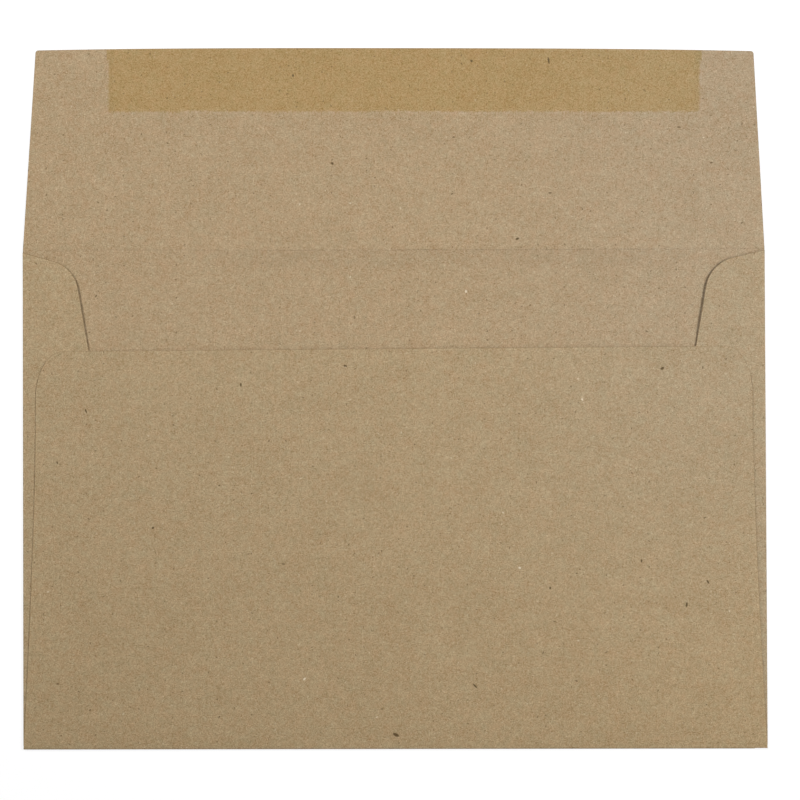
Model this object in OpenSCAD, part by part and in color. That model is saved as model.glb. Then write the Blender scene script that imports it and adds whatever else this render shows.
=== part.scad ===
// Open paper envelope, folded from one die-cut sheet, lying on its address side.
// X runs along the width, Y towards the seal flap, Z up. The origin is in the middle of the footprint.

/* [Sheet] */
// Width of the folded envelope over its two side folds
body_w = 206.4; // [160:0.1:330]
// Height of the folded envelope from the bottom fold to the flap crease
body_h = 138.7; // [110:0.1:230]
// Thickness of the paper
paper_t = 0.16; // [0.1:0.01:0.3]
// Air between the face panel and a folded side flap
fold_gap = 0.24; // [0.1:0.01:0.6]

/* [Seal flap] */
// Depth from the crease to the middle of the free edge
seal_flap_d = 55.8; // [35:0.1:80]
// How far each end leans in between the crease and the free edge
seal_flap_lean = 3.6; // [0:0.1:20]
// Height of the free edge's middle over its two ends
seal_flap_bow = 0.75; // [0.05:0.05:6]
// Radius of the two free corners
seal_flap_corner_r = 0.8; // [0.2:0.1:10]
// Step in from the side fold to the flap's cut end at the crease
crease_step = 0.05; // [0:0.05:2]
// Width of the scored crease line
score_w = 0.7; // [0.3:0.05:1.5]
// Depth of the scored crease line in the paper
score_d = 0.04; // [0.01:0.01:0.08]

/* [Seal gum] */
// Length of the gum band
gum_w = 163.7; // [60:0.1:190]
// Reach of the gum band from the middle of the free edge towards the crease
gum_d = 17.5; // [5:0.1:30]
// Offset of the gum band to the right of the middle
gum_shift = 2.4; // [-4:0.1:4]
// Thickness of the dried gum
gum_t = 0.03; // [0.02:0.01:0.1]

/* [Side flaps] */
// Width of the left side flap at the throat
left_flap_w = 18.2; // [14:0.1:30]
// Width of the right side flap at the throat
right_flap_w = 19.3; // [14:0.1:30]
// Distance from the crease down to the start of the left shoulder
left_shoulder_drop = 0.9; // [0.2:0.1:5]
// Distance from the crease down to the start of the right shoulder
right_shoulder_drop = 0.6; // [0.2:0.1:5]
// Fall of the shoulder away from the side fold, in degrees
shoulder_slope = 13.5; // [0:0.5:30]
// Radius between the shoulder and the inner edge
shoulder_r = 10; // [2:0.5:12]
// Lean of the inner edge off the upright, in degrees
side_edge_lean = 9.8; // [0:0.2:12]
// Rise of the lower end away from the side fold, in degrees
side_flap_end_slope = 30; // [5:1:50]
// Radius between the inner edge and the lower end
side_flap_end_r = 8; // [1:0.5:20]
// Distance from the lower end to the bottom fold
side_flap_end_clear = 1.5; // [0.5:0.1:10]

/* [Bottom flap] */
// Distance from the crease down to the bottom flap's free edge
throat_d = 27.6; // [20:0.1:45]
// Distance from the side fold to the bottom flap's end near the throat
bottom_flap_inset = 3.6; // [1:0.1:8]
// Distance from the side fold to the bottom flap's end at the bottom fold
bottom_fold_inset = 0.2; // [0.1:0.1:0.9]
// Length of the straight, upright stretch of each end below the free edge
bottom_flap_straight = 17; // [14:0.5:60]
// Width of each rounded free corner
corner_w = 7.5; // [2:0.5:12]
// Height of each rounded free corner
corner_h = 13; // [3:0.5:13.5]
// Width of the bonded seam along each end
seam_w = 14; // [12.5:0.5:25]
// Height of the bowed free edge's middle over the seams
throat_bow = 0.6; // [0.1:0.1:6]

/* [Hidden] */

// Segments of a full round, and of each rounded corner
$fn = 48;
arc_steps = 12;
// Steps along the seal flap's bowed edge
bow_steps = 16;
// Cells of the bowed bottom flap between its seams, from the bottom fold to its corners, and round a corner
cells_across = 28;
cells_along = 18;
cells_corner = 8;
// Power of the curve in which each end of the bottom flap runs out to the side fold
end_curve = 1.5;
// Length by which a cutting body passes the paper
over = 1;

// Levels of the stacked layers
side_flap_z = paper_t + fold_gap;
bottom_flap_z = side_flap_z + paper_t;
// Outer radii of the bends, each from the gap that its fold closes round
side_fold_r = side_flap_z / 2 + paper_t / 2;
bottom_fold_r = bottom_flap_z / 2 + paper_t / 2;

// Places along Y
bottom_y = -(body_h + seal_flap_d) / 2;
crease_y = bottom_y + body_h;
free_edge_y = crease_y + seal_flap_d;
throat_y = crease_y - throat_d;
fold_start_y = bottom_y + bottom_fold_r;
end_curve_y = throat_y - bottom_flap_straight;
corner_start_y = throat_y - corner_h;

// Places along X, from the middle to the right
side_fold_x = body_w / 2;
panel_x = side_fold_x - side_fold_r;
crease_end_x = side_fold_x - crease_step;
free_edge_end_x = crease_end_x - seal_flap_lean;
bow_x = side_fold_x - bottom_flap_inset - seam_w;

// Radius of the round tool that presses the score line
score_r = (score_w * score_w / 4 + score_d * score_d) / (2 * score_d);

function unit(v) = v / norm(v);
function smooth(s) = s * s * (3 - 2 * s);

// Arc of radius r that rounds the corner at b of the path a, b, c
function corner_arc(a, b, c, r) =
    let (
        u = unit(a - b),
        v = unit(c - b),
        half = acos(u * v) / 2,
        centre = b + unit(u + v) * r / sin(half),
        from = b + u * r / tan(half) - centre,
        to = b + v * r / tan(half) - centre,
        start = atan2(from.y, from.x),
        turn = atan2(from.x * to.y - from.y * to.x, from * to)
    )
    [for (i = [0:arc_steps]) centre + r * [cos(start + turn * i / arc_steps), sin(start + turn * i / arc_steps)]];

// Outline through corners given as [x, y, radius]
function rounded(corners) =
    let (n = len(corners), p = [for (k = corners) [k.x, k.y]])
    [for (i = [0:n - 1])
        each (corners[i].z == 0
            ? [p[i]]
            : corner_arc(p[(i + n - 1) % n], p[i], p[(i + 1) % n], corners[i].z))];

// Height of the seal flap's free edge at x
function free_edge(x) = free_edge_y - seal_flap_bow * pow(x / free_edge_end_x, 2);

// Rounded free corner of the seal flap on the right, from its end to the free edge
function seal_corner() =
    let (top_x = free_edge_end_x - 2 * seal_flap_corner_r)
    corner_arc([crease_end_x, crease_y], [free_edge_end_x, free_edge(free_edge_end_x)],
               [top_x, free_edge(top_x)], seal_flap_corner_r);

// Half the bottom flap's width at y
function end_run(y) = max(0, (end_curve_y - y) / (end_curve_y - fold_start_y));
function corner_run(y) = max(0, (y - corner_start_y) / corner_h);
function bottom_flap_x(y) =
    side_fold_x - bottom_flap_inset
    + (bottom_flap_inset - bottom_fold_inset) * pow(end_run(y), end_curve)
    - corner_w * (1 - sqrt(max(0, 1 - pow(corner_run(y), 2))));

// Height of the bottom flap over its seams at x, y: nothing at the seams and the fold, most at the throat
function bow(x, y) =
    abs(x) >= bow_x
        ? 0
        : throat_bow * (1 + cos(180 * x / bow_x)) / 2 * smooth((y - fold_start_y) / (throat_y - fold_start_y));

// Seal flap with the short strip below the crease that runs down to the two shoulders
module seal_flap_outline() {
    corner = seal_corner();
    edge_x = corner[arc_steps].x;
    edge = [for (i = [1:bow_steps - 1]) let (x = edge_x * (1 - 2 * i / bow_steps)) [x, free_edge(x)]];
    left_corner = [for (i = [arc_steps:-1:0]) [-corner[i].x, corner[i].y]];
    right_y = crease_y - right_shoulder_drop;
    left_y = crease_y - left_shoulder_drop;
    right_end = [[panel_x, right_y], [crease_end_x, right_y], [crease_end_x, crease_y]];
    left_end = [[-crease_end_x, crease_y], [-crease_end_x, left_y], [-panel_x, left_y]];
    polygon(concat(right_end, corner, edge, left_corner, left_end));
}

// Side flap as it lies folded in, measured from the left end of the crease
module side_flap_outline(flap_w, shoulder_drop) {
    fall = tan(shoulder_slope);
    lean = tan(side_edge_lean);
    rise = tan(side_flap_end_slope);
    end_y = body_h - bottom_fold_r - side_flap_end_clear;
    shoulder_x = (flap_w + (shoulder_drop - side_fold_r * fall - throat_d) * lean) / (1 - fall * lean);
    end_x = (flap_w + (end_y + side_fold_r * rise - throat_d) * lean) / (1 + rise * lean);
    polygon(rounded([
        [side_fold_r, -shoulder_drop, 0],
        [shoulder_x, -shoulder_drop - (shoulder_x - side_fold_r) * fall, shoulder_r],
        [end_x, (end_x - side_fold_r) * rise - end_y, side_flap_end_r],
        [side_fold_r, -end_y, 0],
    ]));
}

// Half-round bend of the paper, from below to above on the side of -X, running up along Y
module bend(outer_r, length) {
    translate([0, length, outer_r])
        rotate([90, 0, 0])
            linear_extrude(length)
                difference() {
                    circle(outer_r);
                    circle(outer_r - paper_t);
                    translate([0, -outer_r - over])
                        square([outer_r + over, 2 * (outer_r + over)]);
                }
}

// Face panel and seal flap, which lie in one plane on either side of the score line
module face_and_seal_flap() {
    difference() {
        linear_extrude(paper_t) {
            translate([-panel_x, fold_start_y])
                square([2 * panel_x, crease_y - fold_start_y]);
            seal_flap_outline();
        }
        score_line();
    }
}

// Round groove that the creasing rule leaves across the inner side
module score_line() {
    translate([-side_fold_x - over, crease_y, paper_t - score_d + score_r])
        rotate([0, 90, 0])
            cylinder(h = body_w + 2 * over, r = score_r, $fn = 180);
}

// Left side flap with its bend
module side_flap(flap_w, shoulder_drop) {
    translate([-side_fold_x, crease_y, side_flap_z])
        linear_extrude(paper_t)
            side_flap_outline(flap_w, shoulder_drop);
    bend_y = fold_start_y + side_flap_end_clear;
    translate([-panel_x, bend_y, 0])
        bend(side_fold_r, crease_y - shoulder_drop - bend_y);
}

// Bend along the bottom, round the ends of the side flaps
module bottom_fold() {
    half_w = side_fold_x - bottom_fold_inset;
    translate([half_w, fold_start_y, 0])
        rotate(90)
            bend(bottom_fold_r, 2 * half_w);
}

// Bottom flap as a thin bowed shell: rows run up from the fold to the free edge
module bottom_flap() {
    rows = concat(
        [for (i = [0:cells_along]) fold_start_y + (corner_start_y - fold_start_y) * i / cells_along],
        [for (i = [1:cells_corner]) corner_start_y + corner_h * sin(90 * i / cells_corner)]);
    columns = [for (i = [0:cells_across]) bow_x * (2 * i / cells_across - 1)];
    row_x = [for (y = rows) concat([-bottom_flap_x(y)], columns, [bottom_flap_x(y)])];
    n_row = len(rows);
    n_col = cells_across + 3;
    layer = n_row * n_col;
    points = [for (z = [0, paper_t], j = [0:n_row - 1], x = row_x[j])
        [x, rows[j], bottom_flap_z + z + bow(x, rows[j])]];
    cells = [for (j = [0:n_row - 2], i = [0:n_col - 2]) j * n_col + i];
    rim = concat(
        [for (i = [0:n_col - 2]) [i, i + 1]],
        [for (j = [0:n_row - 2]) [j * n_col + n_col - 1, (j + 1) * n_col + n_col - 1]],
        [for (i = [n_col - 1:-1:1]) [layer - n_col + i, layer - n_col + i - 1]],
        [for (j = [n_row - 1:-1:1]) [j * n_col, (j - 1) * n_col]]);
    polyhedron(points, concat(
        [for (k = cells) [k, k + 1, k + n_col + 1]],
        [for (k = cells) [k, k + n_col + 1, k + n_col]],
        [for (k = cells) [layer + k, layer + k + n_col + 1, layer + k + 1]],
        [for (k = cells) [layer + k, layer + k + n_col, layer + k + n_col + 1]],
        [for (e = rim) [e[0], e[0] + layer, e[1] + layer]],
        [for (e = rim) [e[0], e[1] + layer, e[1]]]));
}

module envelope_sheet() {
    color("#b09979") {
        face_and_seal_flap();
        side_flap(left_flap_w, left_shoulder_drop);
        mirror([1, 0, 0])
            side_flap(right_flap_w, right_shoulder_drop);
        bottom_fold();
        bottom_flap();
    }
}

module seal_gum() {
    color("#ad9165")
        translate([0, 0, paper_t])
            linear_extrude(gum_t)
                intersection() {
                    seal_flap_outline();
                    translate([gum_shift - gum_w / 2, free_edge_y - gum_d])
                        square([gum_w, gum_d + over]);
                }
}

envelope_sheet();
seal_gum();
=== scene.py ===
"""Open kraft paper envelope, lying on its address side with the seal flap unfolded.

The sheet is drawn as the flat blank that comes off the cutting die, with its two faces and its cut edge. A geometry
tree then folds that blank round the side folds and the bottom fold, and the gum band goes through the same tree.
"""
import math
from collections import namedtuple
from functools import partialmethod
from types import SimpleNamespace

import bpy
import numpy as np
from bpy.props import FloatProperty, FloatVectorProperty, PointerProperty
from bpy.types import Operator, Panel, PropertyGroup
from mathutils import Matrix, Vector, noise
from mathutils.geometry import delaunay_2d_cdt


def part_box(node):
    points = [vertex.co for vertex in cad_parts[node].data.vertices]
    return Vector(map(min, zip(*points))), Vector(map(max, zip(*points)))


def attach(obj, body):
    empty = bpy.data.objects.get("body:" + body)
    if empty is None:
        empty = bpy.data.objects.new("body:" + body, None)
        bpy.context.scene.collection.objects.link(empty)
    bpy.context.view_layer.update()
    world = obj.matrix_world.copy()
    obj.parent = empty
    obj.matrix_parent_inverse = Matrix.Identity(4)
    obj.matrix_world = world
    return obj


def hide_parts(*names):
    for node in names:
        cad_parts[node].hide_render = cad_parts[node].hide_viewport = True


bl_info = {
    "name": "Paper envelope",
    "version": (1, 0, 0),
    "blender": (4, 5, 0),
    "location": "3D View > Sidebar > Envelope",
    "description": "Folds an open kraft paper envelope from its flat blank",
    "category": "Object",
}

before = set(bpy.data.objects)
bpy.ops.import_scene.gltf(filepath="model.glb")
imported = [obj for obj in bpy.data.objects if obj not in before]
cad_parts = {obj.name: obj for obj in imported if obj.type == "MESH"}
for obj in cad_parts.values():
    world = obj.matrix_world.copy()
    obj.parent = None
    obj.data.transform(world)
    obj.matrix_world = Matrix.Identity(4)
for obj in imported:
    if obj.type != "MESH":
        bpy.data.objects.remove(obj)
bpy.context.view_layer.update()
MM = 0.001

# The photograph: its side in pixels, its scale on the table, and the point of the table under the camera
PHOTO_SIDE = 800
PIXELS_PER_METRE = 3604.5
LOOKED_AT = (1.37 * MM, -0.42 * MM)
CAMERA_ROLL = -0.0015

# Its flecks that catch the eye: middle, length and width in pixels, and turn in degrees against the clock
DARK_ON_KRAFT = (
    (396, 734.5, 7.0, 3.2, 155),
    (662, 368.4, 4.3, 2.7, 31),
    (345.4, 366, 3.7, 2.2, 162),
    (517.3, 238.8, 4.0, 2.3, 16),
    (153.2, 527.7, 2.8, 2.3, 33),
    (686.4, 604.5, 5.2, 2.0, 84),
    (241, 384.8, 4.0, 1.9, 93),
    (707.6, 581.6, 4.7, 1.8, 122),
    (332.3, 163.5, 3.1, 2.3, 131),
    (475, 685.6, 6.4, 1.7, 135),
    (550, 587.8, 2.8, 2.0, 86),
    (86.2, 411, 5.0, 1.4, 115),
)
DARK_ON_GUM = (
    (548.6, 60.6, 7.0, 1.8, 100),
    (293, 75.6, 2.9, 2.0, 90),
    (471.5, 61, 2.7, 2.3, 152),
)
LIGHT_ON_KRAFT = (
    (519.6, 567.6, 3.0, 2.0, 149),
    (304.5, 678.7, 3.4, 2.0, 50),
    (582, 399.4, 2.6, 1.9, 110),
    (466, 291.4, 2.9, 2.0, 94),
)

# Shift of the inner side's coordinates, so that the paper's two sides don't share their pattern
SIDES_APART = 0.7

# The flat blank's points: steps round bends and along ends, lines close to a fold and, in widths of the score, to the
# crease, the grid, and the band along an edge
BEND_STEPS = 14
CORNER_STEPS = 14
END_STEPS = 30
FREE_EDGE_STEPS = 80
NEAR_FOLD = (0.05 * MM, 0.15 * MM, 0.4 * MM, 1.0 * MM)
NEAR_CREASE = (-1.5, -0.75, -0.5, -0.375, -0.25, -0.125, 0, 0.125, 0.25, 0.375, 0.5, 0.75, 1.5, 3, -3)
ARC_STEPS = 12
GRID = 2.5 * MM
OFF_FOLD = 1.5 * GRID
SIDE_FLAP_REACH = 40 * MM
EDGE_BAND = 0.3 * MM
EDGE_RINGS = (EDGE_BAND, 3.5 * EDGE_BAND)
RING_KEPT = 0.9
POINTS_AT_ONCE = 2000
# Slit that keeps the seal flap's strip and the shoulder apart
SLIT = 0.06 * MM
# How steeply the free edge falls towards its ends, and the ends of the bottom flap run out to the fold
FREE_EDGE_POWER = 3
FLAP_END_POWER = 1.5

# The gum band's points: their step, its distance from the free edge, and the rings in which its border thins out
GUM_STEP = 1 * MM
GUM_GRID_CLEAR = 1.5 * MM
GUM_CLEAR = 0.05 * MM
GUM_RINGS = (0.3 * MM, 0.7 * MM, 1.2 * MM)
GUM_THIN = 0.7 * MM
GUM_SUNK = 0.01 * MM
GUM_RIM_T = 0.3
# How its border wanders: two periods, the share of the quick one, and how much less the two ends wander
WANDER_SLOW, WANDER_QUICK, QUICK_SHARE = 11 * MM, 2.6 * MM, 0.35
END_WANDER = 0.4

# How far the hand's small departures reach along the paper
LIP_REACH = 1.2 * MM
LIP_START = 0.1
SPRING_REACH = 2.0 * MM
LIFT_FROM, LIFT_TO = 0.5 * MM, 9 * MM
LIFT_RUN = 10 * MM
CREASE_HOLDS_FROM, CREASE_HOLDS_TO, CREASE_HOLDS = 9 * MM, 2 * MM, 0.6
RIDGE_REACH = 3.5 * MM
RIDGE_FADE = 45 * MM
WAVES_PER_METRE = 14.0
FOLD_SLACK = 0.01 * MM
SHARP = math.radians(50)

# The pulp's mottling and the drift of its hue: period, strength and seed of each band of noise
PULP_BANDS = (
    (0.31 * MM, 0.205, 11.0),
    (0.62 * MM, 0.095, 23.0),
    (1.2 * MM, 0.030, 37.0),
    (2.4 * MM, 0.022, 51.0),
    (5.0 * MM, 0.021, 67.0),
    (11.0 * MM, 0.018, 83.0),
)
HUE_BANDS = ((1.3 * MM, 1.0, 97.0), (4.5 * MM, 0.6, 41.0))
# How strongly red and blue mottle beside green, and how the drift of hue shifts red and green
MOTTLE_RED, KRAFT_BLUE, GUM_BLUE = 0.87, 1.3, 1.8
HUE_RED, HUE_GREEN = 0.3, 0.6
# How far the tone warms down the bottom flap beside its cooling to the right, and the cooling of green and blue
WARM_BELOW = 0.45
COOL_GREEN, COOL_BLUE = 0.25, 1.5

# Scattered flecks: their cell, the share of cells that have one, its half length and half width, the softness of its
# rim, its strength and its seed. Below them, the smallest size and the least strength as shares
DARK_FLECKS = (
    (1.1 * MM, 0.30, 0.22 * MM, 0.14 * MM, 0.5, 0.38, 0.31),
    (2.4 * MM, 0.26, 0.32 * MM, 0.19 * MM, 0.5, 0.62, 1.73),
    (9 * MM, 0.16, 0.50 * MM, 0.24 * MM, 0.3, 0.8, 2.57),
)
LIGHT_FLECKS = (
    (1.3 * MM, 0.30, 0.24 * MM, 0.16 * MM, 0.5, 0.32, 3.19),
    (7 * MM, 0.14, 0.34 * MM, 0.20 * MM, 0.5, 0.6, 4.43),
)
SMALLEST, FAINTEST = 0.45, 0.35
# Strength of the seen flecks, and where their rims begin and end in half sizes
SEEN_DARK, SEEN_LIGHT = 0.85, 0.8
SEEN_CORE, SEEN_RIM = 0.6, 1.3

# Marks of painted shade and light: the crease line (partly wear), a band below the crease, shade and a highlight
# along the cut edges, and a highlight along the side folds. How far each is at full strength, where it ends, and its
# strength
CREASE_SHADE_AND_WEAR = (0.04 * MM, 0.24 * MM, 0.26)
SHADE_BELOW_CREASE = (3.5 * MM, 6.5 * MM, 0.04)
EDGE_SHADE_RIM = (0.2 * EDGE_BAND, 0.5 * EDGE_BAND, 1.0)
EDGE_HIGHLIGHT_RIM = (EDGE_BAND, 2 * EDGE_BAND, 0.04)
FOLD_HIGHLIGHT = (0.2 * MM, 1.2 * MM, 0.04)
# Where the crease line and the painted shade below the crease fade at left and at right, in shares of the half width,
# and what is left there
LINE_SPAN = ((-0.6, 0.0, 0.3), (0.6, 0.85, 0.35))
SHADE_BELOW_SPAN = ((-0.6, -0.4, 0.0), (0.6, 0.85, 0.3))
# The crease line's wear: its period and seed, and the share of the line that it leaves on the average
WEAR_PERIOD, WEAR_SEED, WEAR_LEAVES = 7 * MM, 91.0, 0.6
# Share of the colour of the painted shade along the cut edges, how much more of it the left shoulder has as a painted
# shadow line, and how far down that goes
EDGE_SHADE_SHARE, SHOULDER_SHADOW_MORE, SHOULDER_SHADOW_DOWN = 0.32, 0.35, 6 * MM

# The gum's darker rim, the full coat along the free edge, and its ragged border
RIM_CORE, RIM_SHARE = 0.3, 0.5
FULL_COAT_FROM, FULL_COAT_TO = 4 * MM, 3 * MM
RAGGED_PERIOD, RAGGED_SEED, RAGGED_SHARE = 1.3 * MM, 71.0, 0.1
LIGHT_THROUGH_GUM = 0.5

# Finishes: roughness, what the mottling adds to it and to the relief, specular level and coat
Finish = namedtuple("Finish", "roughness varied relief specular coat")
KRAFT_FINISH = Finish(0.88, 0.25, 1.0, 0.06, 0.0)
GUM_FINISH = Finish(0.62, 0.5, 0.6, 0.25, 0.05)
FLECK_SMOOTHNESS, FLECK_RELIEF = 0.15, 0.2
PAPER_IOR, COAT_ROUGHNESS = 1.45, 0.45
BUMP_HEIGHT = 0.03 * MM

SHEET_LOW, SHEET_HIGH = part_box("envelope_sheet")
GUM_LOW, GUM_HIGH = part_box("seal_gum")


def length(name, description, default):
    return FloatProperty(name=name, description=description, default=default, unit="LENGTH", subtype="DISTANCE",
                         precision=5)


def slope(name, description, degrees):
    return FloatProperty(name=name, description=description, default=math.radians(degrees), unit="ROTATION",
                         subtype="ANGLE")


def amount(name, description, default, low=0.0, high=1.0):
    return FloatProperty(name=name, description=description, default=default, min=low, max=high)


def colour(name, description, default):
    return FloatVectorProperty(name=name, description=description, default=default, subtype="COLOR", size=3,
                               min=0.0, max=1.0)


class EnvelopeSheetSizes(PropertyGroup):
    """Sizes of the folded sheet."""

    body_w: length("Body width", "Width over the two side folds", SHEET_HIGH.x - SHEET_LOW.x)
    body_h: length("Body height", "From the bottom fold to the crease", 138.4 * MM)
    paper_t: length("Paper", "Thickness of the paper", 0.16 * MM)
    fold_gap: length("Fold gap", "Air between the face panel and a side flap", 0.24 * MM)
    seal_flap_d: length("Seal flap", "From the crease to the middle of the free edge", 55.99 * MM)
    seal_flap_lean: length("Seal flap lean", "How far each end leans in", 3.6 * MM)
    seal_flap_bow: length("Free edge bow", "Height of the free edge's middle over its ends", 0.75 * MM)
    seal_flap_corner_r: length("Free corners", "Radius of the seal flap's free corners", 0.8 * MM)
    crease_step: length("Crease step", "Step in at the ends of the crease", 0.05 * MM)
    score_w: length("Score width", "Width of the scored crease line", 0.7 * MM)
    score_d: length("Score depth", "Depth of the scored crease line", 0.04 * MM)
    left_flap_w: length("Left side flap", "Width at the throat", 18.2 * MM)
    right_flap_w: length("Right side flap", "Width at the throat", 19.4 * MM)
    left_shoulder_drop: length("Left shoulder drop", "From the crease to its start", 0.5 * MM)
    right_shoulder_drop: length("Right shoulder drop", "From the crease to its start", 0.35 * MM)
    left_shoulder_slope: slope("Left shoulder slope", "Fall of the shoulder away from its fold", 16.3)
    right_shoulder_slope: slope("Right shoulder slope", "Fall of the shoulder away from its fold", 13.5)
    left_shoulder_r: length("Left shoulder radius", "Between the shoulder and the inner edge", 9 * MM)
    right_shoulder_r: length("Right shoulder radius", "Between the shoulder and the inner edge", 10 * MM)
    side_edge_lean: slope("Inner edge lean", "Lean of the inner edges off the upright", 9.8)
    side_flap_end_slope: slope("Lower end slope", "Rise of the side flaps' lower ends", 30)
    side_flap_end_r: length("Lower end radius", "Between the inner edge and the lower end", 8 * MM)
    side_flap_end_clear: length("Lower end clearance", "From the lower end to the bottom fold", 0.7 * MM)
    throat_d: length("Throat", "From the crease to the bottom flap's free edge", 27.4 * MM)
    bottom_flap_inset: length("Bottom flap inset", "From the side fold to the flap's end", 3.6 * MM)
    bottom_fold_inset: length("Bottom fold inset", "From the side fold to the end of the bottom fold", 0.06 * MM)
    bottom_flap_straight: length("Bottom flap straight", "Upright stretch of each end", 17 * MM)
    corner_w: length("Corner width", "Width of each rounded free corner", 7.5 * MM)
    corner_h: length("Corner height", "Height of each rounded free corner", 13 * MM)
    seam_w: length("Seam", "Width of the bonded seam along each end", 14 * MM)
    throat_bow: length("Throat bow", "Height of its bowed free edge over the seams", 0.33 * MM)


class EnvelopeHandFolding(PropertyGroup):
    """Small departures from the drawing that a folded sheet of paper has."""

    left_lift: length("Left flap lift", "How far its inner edge stands up", 0.25 * MM)
    right_lift: length("Right flap lift", "How far its inner edge stands up", 0.415 * MM)
    right_pull: length("Right fold pull", "How far the right side fold lies in at the crease", 0.65 * MM)
    flap_lip: length("Bottom flap lip", "How far the rim outside the glue stands up", 0.05 * MM)
    throat_rise: length("Throat skew", "How much higher the throat runs at the right", 1.15 * MM)
    crease_rise: length("Crease skew", "How much higher the crease runs at the right", 0.3 * MM)
    free_edge_fall: length("Free edge skew", "How much lower the free edge runs at the right", 0.5 * MM)
    crease_ridge: length("Crease ridge", "Height of the soft ridge that the crease leaves", 0.33 * MM)
    fold_spring: length("Fold spring", "How far the layers spring apart behind the bottom fold", 0.229 * MM)
    wave: length("Wave", "Height of the paper's own slow waves", 0.06 * MM)


class EnvelopeGumSizes(PropertyGroup):
    """Sizes of the gum band."""

    gum_w: length("Length", "Length of the gum band", 164.0 * MM)
    gum_d: length("Depth", "Reach from the free edge towards the crease", 17.6 * MM)
    gum_shift: length("Shift", "Offset to the right of the middle", 2.7 * MM)
    gum_t: length("Thickness", "Thickness of the dried gum", GUM_HIGH.z - GUM_LOW.z)
    border_wander: length("Border wander", "How far the coated border wanders", 0.25 * MM)
    border_fade: length("Border fade", "Width over which the coat thins out at its border", 1.1 * MM)
    rim_w: length("Rim", "Width of the darker rim at both ends", 1.9 * MM)


class EnvelopeLook(PropertyGroup):
    """Colours and strengths of the paper's and the gum's finish, and of the paper's painted shade."""

    inner: colour("Inner side", "Kraft colour inside the envelope", (0.410, 0.2997, 0.1778))
    outer: colour("Outer side", "Kraft colour outside", (0.4133, 0.3048, 0.1762))
    fleck: colour("Dark flecks", "Colour of the bark flecks", (0.082, 0.047, 0.017))
    fibre: colour("Light flecks", "Colour of the bleached fibres", (0.75, 0.66, 0.50))
    # Colour of the painted shade along the cut edges and of the painted shadow line on the left shoulder
    cut: colour("Cut edge", "Colour towards which the cut edges darken", (0.10, 0.055, 0.008))
    gum: colour("Gum", "Colour of the dried gum over the kraft", (0.3645, 0.2427, 0.102))
    gum_rim: colour("Gum rim", "Colour of the thicker rim of the gum", (0.322, 0.2165, 0.088))
    mottle: amount("Mottle", "Strength of the pulp's mottling", 1.0, 0.0, 3.0)
    hue_drift: amount("Hue drift", "Strength of the slow changes of hue", 0.031)
    # Also the strength of the painted shading inside, which is lighter at the throat and darker up the seal flap
    tone_and_shade_drift: amount("Tone drift", "How much cooler the tone is at the right side", 0.04)
    tooth: amount("Tooth", "Strength of the paper's relief", 0.25)


class EnvelopeStudio(PropertyGroup):
    """Lamps, fill and camera height."""

    right_share: amount("Right lamp", "Share of the light on the table", 0.497)
    left_share: amount("Left lamp", "Share of the light on the table", 0.385)
    front_share: amount("Front lamp", "Share of the light on the table", 0.055)
    fill: amount("Fill", "Share of the light that comes from all round", 0.05)
    lamp_long: length("Lamp length", "Long side of each lamp", 0.4)
    lamp_short: length("Lamp width", "Short side of each lamp", 0.15)
    camera_height: length("Camera height", "Height of the camera over the table", 1.0)


PROPERTY_GROUPS = {
    "envelope_sheet": EnvelopeSheetSizes,
    "envelope_hand": EnvelopeHandFolding,
    "envelope_gum": EnvelopeGumSizes,
    "envelope_look": EnvelopeLook,
    "envelope_studio": EnvelopeStudio,
}


class Wire:
    """The output of a node, on which arithmetic adds Math nodes."""

    def __init__(self, graph, socket):
        self.graph = graph
        self.socket = socket

    def math(self, operation, *others, swap=False):
        values = [*others, self] if swap else [self, *others]
        return self.graph.add("ShaderNodeMath", {"operation": operation}, dict(enumerate(values)))

    __add__ = __radd__ = partialmethod(math, "ADD")
    __sub__ = partialmethod(math, "SUBTRACT")
    __rsub__ = partialmethod(math, "SUBTRACT", swap=True)
    __mul__ = __rmul__ = partialmethod(math, "MULTIPLY")
    __truediv__ = partialmethod(math, "DIVIDE")
    __gt__ = partialmethod(math, "GREATER_THAN")
    __lt__ = partialmethod(math, "LESS_THAN")
    __abs__ = partialmethod(math, "ABSOLUTE")
    at_least = partialmethod(math, "MAXIMUM")
    at_most = partialmethod(math, "MINIMUM")


class Graph:
    """Adds nodes to one shader or geometry tree."""

    def __init__(self, tree):
        self.tree = tree

    def node(self, kind, settings=None, inputs=None):
        made = self.tree.nodes.new(kind)
        for name, value in (settings or {}).items():
            setattr(made, name, value)
        for key, value in (inputs or {}).items():
            if isinstance(value, Wire):
                self.tree.links.new(value.socket, made.inputs[key])
            else:
                made.inputs[key].default_value = value
        return made

    def add(self, kind, settings=None, inputs=None, output=0):
        return Wire(self, self.node(kind, settings, inputs).outputs[output])

    def outputs(self, kind, settings=None, inputs=None):
        return [Wire(self, socket) for socket in self.node(kind, settings, inputs).outputs]

    def step(self, value, low, high, start=0.0, end=1.0):
        """Goes smoothly from start to end while value goes from low to high."""
        return self.add("ShaderNodeMapRange", {"interpolation_type": "SMOOTHSTEP"},
                        {0: value, 1: low, 2: high, 3: start, 4: end})

    def vector_math(self, operation, first, second):
        return self.add("ShaderNodeVectorMath", {"operation": operation}, {0: first, 1: second})

    def end(self, kind, last):
        self.tree.links.new(last.outputs[0], self.node(kind).inputs[0])

    def vector(self, x, y, z=0.0):
        return self.add("ShaderNodeCombineXYZ", inputs={0: x, 1: y, 2: z})

    def mark(self, distance, core, reach, strength):
        """A mark's strength at that distance from its middle."""
        return self.step(distance, core, reach, strength, 0.0)

    def mixed_shaders(self, factor, first, second):
        shaders = {1: Wire(self, first.outputs[0]), 2: Wire(self, second.outputs[0])}
        return self.node("ShaderNodeMixShader", inputs={0: factor, **shaders})


def new_object(name, data):
    made = bpy.data.objects.new(name, data)
    bpy.context.scene.collection.objects.link(made)
    return made


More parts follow.
